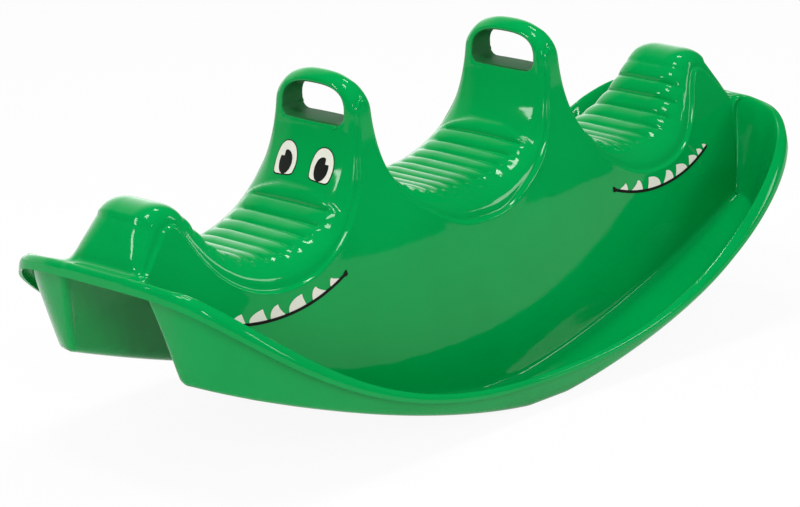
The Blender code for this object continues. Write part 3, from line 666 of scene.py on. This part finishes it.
def whole_cage(points, faces, extras):
    """Mirrors the quarter about both middle planes and welds the seams."""
    stacked = np.vstack([points * np.array([sx, sy, 1]) for sx, sy in ((1, 1), (-1, 1), (-1, -1), (1, -1))])
    all_faces = []
    for turn, mirrored in enumerate((False, True, False, True)):
        for face in faces:
            moved = [a + turn * len(points) for a in face]
            all_faces.append(moved[::-1] if mirrored else moved)
    rounded_off = np.round(stacked, 6) + 0.0
    welded, first, back = np.unique(rounded_off, axis=0, return_index=True, return_inverse=True)
    back = back.reshape(-1)
    kept = []
    for face in all_faces:
        ring = []
        for a in face:
            if not ring or ring[-1] != back[a]:
                ring.append(int(back[a]))
        if ring[0] == ring[-1]:
            ring.pop()
        if len(set(ring)) > 2:
            kept.append(ring)
    return welded, kept, [np.tile(e, 4)[first] for e in extras]


def mesh_from(name, points, faces):
    mesh = bpy.data.meshes.new(name)
    mesh.from_pydata([tuple(p) for p in points], [], [tuple(int(a) for a in f) for f in faces])
    mesh.update()
    return mesh


def add_object(name, data):
    obj = bpy.data.objects.new(name, data)
    bpy.context.scene.collection.objects.link(obj)
    return obj


def evaluated(obj):
    """New mesh of an object as its modifiers leave it."""
    bpy.context.view_layer.update()
    return bpy.data.meshes.new_from_object(obj.evaluated_get(bpy.context.evaluated_depsgraph_get()))


def vectors(mesh, name):
    """Places or normals of a mesh's vertices."""
    values = np.empty(len(mesh.vertices) * 3, np.float32)
    mesh.vertices.foreach_get(name, values)
    return values.reshape(-1, 3).astype(float)


def layer_values(mesh, name):
    values = np.empty(len(mesh.vertices), np.float32)
    mesh.attributes[name].data.foreach_get("value", values)
    return values.astype(float)


def add_layer(mesh, name, values):
    layer = mesh.attributes.new(name, "FLOAT", "POINT")
    layer.data.foreach_set("value", values.astype(np.float32))


def smoothed(points, faces, runs, lane_of):
    """Subdivided surface whose crown, shoulders and rim pass through the points of the cage."""
    mesh = mesh_from("cage", points, faces)
    add_layer(mesh, "run", runs)
    add_layer(mesh, "lane", lane_of)
    obj = add_object("cage", mesh)
    modifier = obj.modifiers.new("smooth", "SUBSURF")
    modifier.levels = 1
    held = np.where(lane_of <= CROWN_LANES + SHOULDER_LANES + 0.5, 1.0, HOLD_BELOW)
    side = np.abs(points[:, 1])
    near_end = np.abs(points[:, 0]) > END_X - JUNCTION_BACK
    junction = near_end & (side > JUNCTION_SIDE[0]) & (side < JUNCTION_SIDE[1])
    held = np.where(junction, 0.0, held)[:, None]
    moved = points.copy()
    for _ in range(HOLD_PASSES):
        limit = evaluated(obj)
        moved += held * (points - vectors(limit, "co")[: len(points)])
        mesh.vertices.foreach_set("co", moved.astype(np.float32).ravel())
        mesh.update()
        bpy.data.meshes.remove(limit)
    modifier.levels = LEVELS
    fine = evaluated(obj)
    bpy.data.objects.remove(obj)
    return fine


def rib_field(run, lane, y, pads):
    """Height of the ribs and pads over the plain surface, by the run along the ridge and the side."""
    inner_pad, inner_ribs, outer_pad, outer_ribs, bump = pads
    height = np.zeros(len(run))
    spans = [(0.0, inner_pad, inner_ribs, False), (outer_pad, bump, outer_ribs, True)]
    for start, stop, count, is_outer in spans:
        along = (run - start) / (stop - start) * count
        phase = along if is_outer else count - along
        scallop = np.abs(np.sin(np.pi * phase)) ** RIB_POWER
        across = 1 - RIB_END_FADE * smooth((np.abs(y) - RIB_HALF_LENGTH - RIB_SCALLOP * scallop) / RIB_END)
        edge = PAD_CURVE * (np.abs(y) / PAD_HALF) ** 2
        inside = smooth((phase - edge + PAD_EDGE[0]) / PAD_EDGE[1])
        if is_outer:
            fade = 1 - smooth((phase - count + RIB_FADE_COUNT) / RIB_FADE_LENGTH)
            within = (run > start - PAD_OVERLAP) & (run < stop + BUMP_OVERLAP)
        else:
            fade = 1.0
            within = run < stop + PAD_OVERLAP
        rib = RIB_HEIGHT * (scallop - RIB_MIDDLE) * fade * across
        height = np.where(within, inside * (PAD_STEP + rib), height)
    share, before, length = PAD_SIDE_LANE
    side_lane = CROWN_LANES + share * SHOULDER_LANES
    return height * (1 - smooth((lane - side_lane + before) / length))


def settle_flank(co, run, lane, bump_run):
    """Puts the flank, between its two edges, exactly on the surface that its formula gives."""
    first = CROWN_LANES + SHOULDER_LANES + 1
    last = first + len(FLANK_SHARES) - 1
    start, rise, stop, fall = SETTLE_LANES
    weight = smooth((lane - first - start) / rise) * (1 - smooth((lane - last + stop) / fall))
    weight = weight * (1 - smooth((run - bump_run - SETTLE_RUN) / SETTLE_RUN))
    for k in np.where(weight > 0)[0]:
        y = flank_y(co[k, 0], co[k, 2])
        co[k, 1] += weight[k] * (np.sign(co[k, 1]) * y - co[k, 1])


def build_shell():
    """The moulding; gives the points and faces of its outer skin, which the prints follow."""
    points, faces, runs, lane_of, pads = quarter_cage()
    points, faces, (runs, lane_of) = whole_cage(points, faces, (runs, lane_of))
    fine = smoothed(points, faces, runs, lane_of)
    co = vectors(fine, "co")
    run = layer_values(fine, "run")
    lane = layer_values(fine, "lane")
    co = co + vectors(fine, "normal") * rib_field(run, lane, co[:, 1], pads)[:, None]
    settle_flank(co, run, lane, pads[-1])
    co, quads = cut_holes(co, [tuple(p.vertices) for p in fine.polygons])
    obj = add_object("moulding", mesh_from("moulding_skin", co, quads))
    wall = obj.modifiers.new("wall", "SOLIDIFY")
    wall.thickness = THICK
    wall.offset = -1
    solid = evaluated(obj)
    obj.modifiers.clear()
    obj.data = solid
    solid.shade_smooth()
    solid.set_sharp_from_angle(angle=np.radians(SHARP_ANGLE))
    spots = vectors(solid, "co")
    by_tower = np.abs(np.abs(spots[:, 0]) - TOWER_X) < HOLE_REACH
    # the tunnel mask marks the hand holes' walls, which the material makes duller and darkens with painted
    # shade
    add_layer(solid, "tunnel", by_tower & within_ring(hole_ring(0.6 * HOLE_ROUND), spots[:, 1], spots[:, 2]))
    obj.data.materials.append(green_plastic())
    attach(obj, "root")
    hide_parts("shell")
    return co, quads


def hole_ring(grow):
    """D shape of a hand hole in y and z, flat below and arched above, as evenly spaced points."""
    half = flank_y(TOWER_X, (HOLE_TOP + HOLE_BOTTOM) / 2) - HOLE_SIDE + grow
    bottom = HOLE_BOTTOM - grow
    corner = HOLE_CORNER + grow
    rise = HOLE_TOP - HOLE_SHOULDER + grow
    right = []
    for turn in np.linspace(-np.pi / 2, 0, 12):
        right.append((half - corner + corner * np.cos(turn), bottom + corner + corner * np.sin(turn)))
    power = 2 / HOLE_ARCH_POWER
    for a in np.linspace(0, np.pi / 2, 60)[1:]:
        right.append((half * np.cos(a) ** power, HOLE_SHOULDER + rise * np.sin(a) ** power))
    ring = np.array(right + [(-y, z) for y, z in right[:-1][::-1]])
    closed = np.vstack([ring, ring[:1]])
    arc = path_length(closed)
    at = np.linspace(0, arc[-1], HOLE_STEPS + 1)[:-1]
    return np.stack([np.interp(at, arc, closed[:, k]) for k in range(2)], 1)


def within_ring(ring, y, z):
    """Whether points lie inside a closed ring, by how often a line from them crosses it."""
    found = np.zeros(len(y), bool)
    for (y0, z0), (y1, z1) in zip(np.roll(ring, 1, axis=0), ring):
        crosses = (z0 > z) != (z1 > z)
        if z1 != z0:
            found ^= crosses & (y < y0 + (z - z0) / (z1 - z0) * (y1 - y0))
    return found


def cut_holes(co, quads):
    """Opens the hand holes in the fine sheet and lines each with a tunnel whose edges are rounded."""
    wide = hole_ring(HOLE_ROUND)
    true = hole_ring(0.0)
    tree = BVHTree.FromPolygons([tuple(p) for p in co], quads)
    centre = np.array([co[list(q)].mean(axis=0) for q in quads])
    near = np.abs(np.abs(centre[:, 0]) - TOWER_X) < HOLE_REACH
    gone = near & within_ring(wide, centre[:, 1], centre[:, 2])
    kept = [q for q, g in zip(quads, gone) if not g]
    points = [tuple(p) for p in co]
    for side in (-1, 1):
        ends = []
        for outward in (-1, 1):
            here = gone & (centre[:, 0] * side > 0) & ((centre[:, 0] - side * TOWER_X) * side * outward > 0)
            loop = border([q for q, h in zip(quads, here) if h])
            ring, between = rounded_edge(points, loop, tree, side, side * outward, wide, true)
            kept += between
            ends.append(ring)
        kept += zipped(points, ends[0], ends[1])
    return drop_unused(np.array(points), kept)


def rounded_edge(points, loop, tree, side, direction, wide, true):
    """Rounds one mouth of a hand hole; gives its innermost ring and the faces up to it."""
    rings = [loop]
    at = []
    for v in loop:
        k = int(np.argmin(np.linalg.norm(wide - np.array(points[v])[1:], axis=1)))
        start = Vector((side * TOWER_X + direction * FACE_RAY, wide[k, 0], wide[k, 1]))
        hit = tree.ray_cast(start, Vector((-direction, 0, 0)))[0]
        points[v] = (hit.x, wide[k, 0], wide[k, 1])
        n = int(np.argmin(np.linalg.norm(true - wide[k], axis=1)))
        at.append((hit.x, wide[k], true[n]))
    for turn in np.radians((22.5, 45, 67.5, 90)):
        ring = []
        for x, far, close in at:
            spot = close + (far - close) * (1 - np.sin(turn))
            ring.append(len(points))
            points.append((x - direction * HOLE_ROUND * (1 - np.cos(turn)), spot[0], spot[1]))
        rings.append(ring)
    faces = []
    for a, b in zip(rings[:-1], rings[1:]):
        for k in range(len(a)):
            m = (k + 1) % len(a)
            faces.append((a[m], a[k], b[k], b[m]))
    return rings[-1], faces


def border(faces):
    """Ordered loop of vertices round a patch of faces."""
    edges = {(f[k - 1], f[k]) for f in faces for k in range(len(f))}
    step = {b: a for a, b in edges if (b, a) not in edges}
    start = min(step)
    loop = [start]
    while step[loop[-1]] != start:
        loop.append(step[loop[-1]])
    return loop


def zipped(points, first, second):
    """Triangles between two closed rings of different counts, walked by their angle about the middle."""
    middle = np.array([points[v] for v in first])[:, 1:].mean(axis=0)

    def by_angle(ring):
        turn = [np.arctan2(points[v][2] - middle[1], points[v][1] - middle[0]) for v in ring]
        order = np.argsort(turn)
        return [(turn[k], ring[k]) for k in order]

    a = by_angle(first)
    b = by_angle(second)
    along = first[(first.index(a[0][1]) + 1) % len(first)] == a[1][1]
    a.append((a[0][0] + 2 * np.pi, a[0][1]))
    b.append((b[0][0] + 2 * np.pi, b[0][1]))
    i = 0
    j = 0
    faces = []
    while i < len(a) - 1 or j < len(b) - 1:
        if j == len(b) - 1 or (i < len(a) - 1 and a[i + 1][0] <= b[j + 1][0]):
            faces.append((a[i + 1][1], a[i][1], b[j][1]))
            i += 1
        else:
            faces.append((a[i][1], b[j][1], b[j + 1][1]))
            j += 1
    return faces if along else [f[::-1] for f in faces]


def drop_unused(points, faces):
    used = np.unique(np.concatenate([np.array(f) for f in faces]))
    number = -np.ones(len(points), int)
    number[used] = np.arange(len(used))
    return points[used], [tuple(number[list(f)]) for f in faces]


def eye_shape(grow):
    scale = EYE_SCALE + grow / EYE_HALF
    return rounded([(p * 0.001 * scale, q * 0.001 * scale) for p, q in EYE_OUTLINE])


def pupil_shape():
    """Oval with a square notch cut from its upper inner quarter."""
    shape = []
    notched = False
    for k in range(40):
        turn = 2 * np.pi * k / 40 - np.pi / 2
        p = PUPIL_HALF[0] * np.cos(turn)
        q = -PUPIL_DOWN + PUPIL_HALF[1] * np.sin(turn)
        if p <= PUPIL_NOTCH[-1][0] or q <= 0.0:
            shape.append((p, q))
        elif not notched:
            shape += PUPIL_NOTCH
            notched = True
    scale = 0.001 * EYE_SCALE
    return [(p * scale, q * scale) for p, q in shape]


def rounded(shape):
    """Closed outline with its corners softened by cutting them twice."""
    for _ in range(2):
        out = []
        for k, here in enumerate(shape):
            for beside in (shape[k - 1], shape[(k + 1) % len(shape)]):
                out.append(tuple(0.25 * b + 0.75 * h for b, h in zip(beside, here)))
        shape = out
    return shape


def mouth_z(x):
    u = x - MOUTH_LOW_X
    return MOUTH_LOW_Z + MOUTH_CURVE[int(u >= 0)] * u * u


def teeth_shape():
    """Outline of the whole row of teeth, which share one backing behind the mouth's line."""
    length = MOUTH_X1 - MOUTH_X0
    hidden = LINE_WIDTH * 0.3
    lower = []
    for k in range(MOUTH_STEPS + 1):
        x = MOUTH_X0 + length * (0.03 + 0.96 * k / MOUTH_STEPS)
        lower.append((x, mouth_z(x) - hidden))
    upper = []
    for start, stop, tip, height in TEETH:
        left, right, top = (MOUTH_X0 + length * share for share in (start, stop, tip))
        zl = mouth_z(left) + hidden
        zr = mouth_z(right) + hidden
        zt = mouth_z(top) + height
        for share in (0.0, 0.2, 0.4, 0.6, 0.8):
            upper.append((left + (1 - (1 - share) ** 1.6) * (top - left), zl + share * (zt - zl)))
        for turn in np.radians((0, 6, 18, 30, 42, 54, 66, 78)):
            upper.append((top + (right - top) * np.sin(turn), zr + (zt - zr) * np.cos(turn) ** 0.85))
        upper.append((right, zr))
    return lower + upper[::-1]


def mouth_line_shape():
    """The mouth's line, with a short tick across its inner end."""
    upper = []
    lower = []
    for k in range(1, MOUTH_STEPS + 1):
        x = MOUTH_X0 + (MOUTH_X1 - MOUTH_X0) * k / MOUTH_STEPS
        slope = (mouth_z(x + 0.001) - mouth_z(x - 0.001)) / 0.002
        n = np.array([-slope, 1]) / np.hypot(slope, 1)
        half = LINE_WIDTH / 2 * (1 if k < MOUTH_STEPS else 0.5)
        upper.append(tuple(np.array([x, mouth_z(x)]) + n * half))
        lower.append(tuple(np.array([x, mouth_z(x)]) - n * half))
    tick = [(MOUTH_X0 + p, mouth_z(MOUTH_X0) + q) for p, q in LINE_TICK]
    return lower + upper[::-1] + tick


def build_prints(co, quads):
    """A thin film on the moulding for each print, in place of its plain solid."""
    tree = BVHTree.FromPolygons([tuple(p) for p in co], quads)
    inks = {slot: print_material(slot) for slot in INKS}
    for end, end_name in ((-1, "a"), (1, "b")):
        for side, side_name in ((-1, "right"), (1, "left")):

            def on_face(p, q):
                start = Vector((end * (TOWER_X + EYE_RAY), side * (EYE_Y + p), EYE_Z + q))
                return tree.ray_cast(start, Vector((-end, 0, 0)))

            def on_flank(p, q):
                turn, lower = MOUTH_SET.get(f"{end_name}_{side_name}", (0.0, 0.0))
                out = MOUTH_LOW_X + (p - MOUTH_LOW_X) * np.cos(turn) + (q - MOUTH_LOW_Z) * np.sin(turn)
                z = MOUTH_LOW_Z + (q - MOUTH_LOW_Z) * np.cos(turn) - (p - MOUTH_LOW_X) * np.sin(turn) - lower
                start = Vector((end * out, side * (FOOT_HALF + MOUTH_RAY), z))
                return tree.ray_cast(start, Vector((0, -side, 0)))

            prints = [("eye_outline", "print_black", eye_shape(INK_EDGE), on_face, 0),
                      ("eye_white", "print_white", eye_shape(WHITE_EDGE), on_face, 1),
                      ("eye_pupil", "print_black", pupil_shape(), on_face, 2),
                      ("teeth", "print_white", teeth_shape(), on_flank, 0),
                      ("mouth_line", "print_black", mouth_line_shape(), on_flank, 1)]
            for name, slot, shape, place, layer in prints:
                node = f"{name}_{end_name}_{side_name}"
                obj = add_object("print_" + node, film(node, shape, place, layer))
                obj.data.materials.append(inks[slot])
                obj.data.shade_smooth()
                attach(obj, "root")
                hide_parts(node)


def film(name, shape, place, layer):
    """Fine mesh that follows the moulding inside an outline, a little above it."""
    ring = []
    for k, here in enumerate(shape):
        a = np.array(here)
        b = np.array(shape[(k + 1) % len(shape)])
        n = max(1, int(np.ceil(np.linalg.norm(b - a) / PRINT_SPACING)))
        ring += [tuple(a + (b - a) * m / n) for m in range(n)]
    edges = [(k, (k + 1) % len(ring)) for k in range(len(ring))]
    border_ring = np.array(ring)
    steps = [np.arange(border_ring[:, k].min(), border_ring[:, k].max(), PRINT_SPACING) for k in range(2)]
    grid = np.array([(p, q) for p in steps[0] for q in steps[1]])
    for p in grid[within_ring(border_ring, grid[:, 0], grid[:, 1])]:
        if np.linalg.norm(border_ring - p, axis=1).min() > PRINT_SPACING * 0.4:
            ring.append(tuple(p))
    plane, _, tris, _, _, _ = delaunay_2d_cdt([Vector(p) for p in ring], edges, [], 1, 1e-7)
    points = []
    total = Vector()
    for p, q in plane:
        spot, normal = place(p, q)[:2]
        total += normal
        points.append(spot + normal * PRINT_RISE * (1 + layer))
    faces = [tuple(t) for t in tris]
    a, b, c = (points[v] for v in faces[0])
    if (b - a).cross(c - a).dot(total) < 0:
        faces = [f[::-1] for f in faces]
    return mesh_from(name, points, faces)


def node_material(name):
    made = bpy.data.materials.new(name)
    made.use_nodes = True
    return made, made.node_tree, made.node_tree.nodes["Principled BSDF"]


def noise(tree, scale, detail):
    coords = tree.nodes.new("ShaderNodeTexCoord")
    texture = tree.nodes.new("ShaderNodeTexNoise")
    texture.inputs["Scale"].default_value = scale
    texture.inputs["Detail"].default_value = detail
    tree.links.new(coords.outputs["Object"], texture.inputs["Vector"])
    return texture.outputs["Fac"]


def remapped(tree, value, from_low, from_high, low, high):
    node = tree.nodes.new("ShaderNodeMapRange")
    node.inputs["From Min"].default_value = from_low
    node.inputs["From Max"].default_value = from_high
    node.inputs["To Min"].default_value = low
    node.inputs["To Max"].default_value = high
    tree.links.new(value, node.inputs["Value"])
    return node.outputs["Result"]


def spread(tree, value, low, high):
    """Spreads the middle of a noise between two values."""
    return remapped(tree, value, 0.3, 0.7, low, high)


def mixed(tree, factor, a, b, kind="FLOAT"):
    """Mix node's result; each of its two sides is a value or another node's output."""
    node = tree.nodes.new("ShaderNodeMix")
    node.data_type = kind
    tree.links.new(factor, node.inputs["Factor"])
    for name, side in (("A", a), ("B", b)):
        if isinstance(side, bpy.types.NodeSocket):
            tree.links.new(side, node.inputs[name])
        else:
            node.inputs[name].default_value = side
    return node.outputs["Result"]


def green_plastic():
    """Glossy green, uneven as a thin moulding is, and dull in the hand holes, whose walls get a painted
    shade of darker green.
    """
    made, tree, shader = node_material("green_plastic")
    colour = mixed(tree, spread(tree, noise(tree, 6, 3), 0, 1), GREEN[0], GREEN[1], "RGBA")
    inside = tree.nodes.new("ShaderNodeAttribute")
    inside.attribute_name = "tunnel"
    # painted shade: the hand holes' walls are darkened in the colour itself
    colour = mixed(tree, inside.outputs["Fac"], colour, GREEN_HOLE_SHADE, "RGBA")
    tree.links.new(colour, shader.inputs["Base Color"])
    rough = mixed(tree, inside.outputs["Fac"], spread(tree, noise(tree, 25, 4), *GREEN_ROUGH), INSIDE_ROUGH)
    tree.links.new(rough, shader.inputs["Roughness"])
    shader.inputs["IOR"].default_value = 1.45
    shader.inputs["Specular IOR Level"].default_value = 0.22
    bump = tree.nodes.new("ShaderNodeBump")
    bump.inputs["Strength"].default_value = 0.25
    bump.inputs["Distance"].default_value = 0.002
    tree.links.new(noise(tree, 18, 2), bump.inputs["Height"])
    tree.links.new(bump.outputs["Normal"], shader.inputs["Normal"])
    return made


def print_material(slot):
    """Satin ink of a print."""
    made, tree, shader = node_material(slot)
    colour = mixed(tree, spread(tree, noise(tree, 40, 3), 0, 1), INKS[slot][0], INKS[slot][1], "RGBA")
    tree.links.new(colour, shader.inputs["Base Color"])
    tree.links.new(spread(tree, noise(tree, 120, 3), *INK_ROUGH), shader.inputs["Roughness"])
    shader.inputs["Specular IOR Level"].default_value = 0.1
    return made


def math_node(tree, operation, a, b):
    """Result of one step of arithmetic on a node's output and a second output or value."""
    node = tree.nodes.new("ShaderNodeMath")
    node.operation = operation
    tree.links.new(a, node.inputs[0])
    if isinstance(b, bpy.types.NodeSocket):
        tree.links.new(b, node.inputs[1])
    else:
        node.inputs[1].default_value = b
    return node.outputs[0]


def add_stage():
    """White floor that keeps a soft shadow."""
    corners = [(x * FLOOR_HALF, y * FLOOR_HALF, 0) for x, y in ((-1, -1), (1, -1), (1, 1), (-1, 1))]
    floor = add_object("floor", mesh_from("floor", corners, [(0, 1, 2, 3)]))
    made, tree, shader = node_material("floor_white")
    shader.inputs["Base Color"].default_value = (0.90, 0.90, 0.90, 1)
    shader.inputs["Roughness"].default_value = 0.9
    glow = tree.nodes.new("ShaderNodeEmission")
    glow.inputs["Strength"].default_value = 1.0
    path = tree.nodes.new("ShaderNodeLightPath")
    seen = math_node(tree, "MAXIMUM", path.outputs["Is Camera Ray"], path.outputs["Is Glossy Ray"])
    mix = tree.nodes.new("ShaderNodeMixShader")
    tree.links.new(math_node(tree, "MULTIPLY", seen, FLOOR_GLOW), mix.inputs["Fac"])
    tree.links.new(shader.outputs[0], mix.inputs[1])
    tree.links.new(glow.outputs[0], mix.inputs[2])
    tree.links.new(mix.outputs[0], tree.nodes["Material Output"].inputs["Surface"])
    floor.data.materials.append(made)


def add_world():
    """Soft light all round, white to the camera, and a bright wall on one side for the gloss."""
    world = bpy.data.worlds.new("studio")
    bpy.context.scene.world = world
    world.use_nodes = True
    tree = world.node_tree
    coords = tree.nodes.new("ShaderNodeTexCoord")
    direction = tree.nodes.new("ShaderNodeVectorMath")
    direction.operation = "DOT_PRODUCT"
    direction.inputs[1].default_value = WORLD_SIDE
    tree.links.new(coords.outputs["Generated"], direction.inputs[0])
    wall = remapped(tree, direction.outputs["Value"], *WORLD_RAMP)
    path = tree.nodes.new("ShaderNodeLightPath")
    light = mixed(tree, path.outputs["Is Glossy Ray"], WORLD_LIGHT, wall)
    light = mixed(tree, path.outputs["Is Camera Ray"], light, 1.0)
    back = tree.nodes["Background"]
    back.inputs["Color"].default_value = (1, 1, 1, 1)
    tree.links.new(light, back.inputs["Strength"])


def add_lamps():
    for name, (place, size, power) in LAMPS.items():
        data = bpy.data.lights.new(name, "AREA")
        data.shape = "RECTANGLE"
        data.size, data.size_y = size
        data.energy = power
        obj = add_object(name, data)
        obj.location = place
        obj.rotation_euler = (Vector(LAMP_TARGET) - Vector(place)).to_track_quat("-Z", "Y").to_euler()


def add_camera():
    az, el, roll = np.radians((CAMERA_AZIMUTH, CAMERA_ELEVATION, CAMERA_ROLL))
    forward = np.array((np.sin(az) * np.cos(el), np.cos(az) * np.cos(el), -np.sin(el)))
    right = np.array((np.cos(az), -np.sin(az), 0))
    up = np.cross(right, forward)
    right, up = np.cos(roll) * right + np.sin(roll) * up, np.cos(roll) * up - np.sin(roll) * right
    place = CAMERA_OFFSET[0] * right + CAMERA_OFFSET[1] * up - CAMERA_DISTANCE * forward
    place[2] += CAMERA_LIFT
    data = bpy.data.cameras.new("camera")
    data.sensor_width = CAMERA_SENSOR
    data.sensor_fit = "HORIZONTAL"
    data.lens = CAMERA_LENS
    data.clip_end = CAMERA_CLIP
    obj = add_object("camera", data)
    turn = Matrix(np.stack([right, up, -forward], 1).tolist()).to_4x4()
    obj.matrix_world = Matrix.Translation(place) @ turn
    bpy.context.scene.camera = obj


def main():
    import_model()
    co, quads = build_shell()
    build_prints(co, quads)
    add_stage()
    add_world()
    add_lamps()
    add_camera()
    bpy.context.scene.view_settings.view_transform = "Standard"


main()
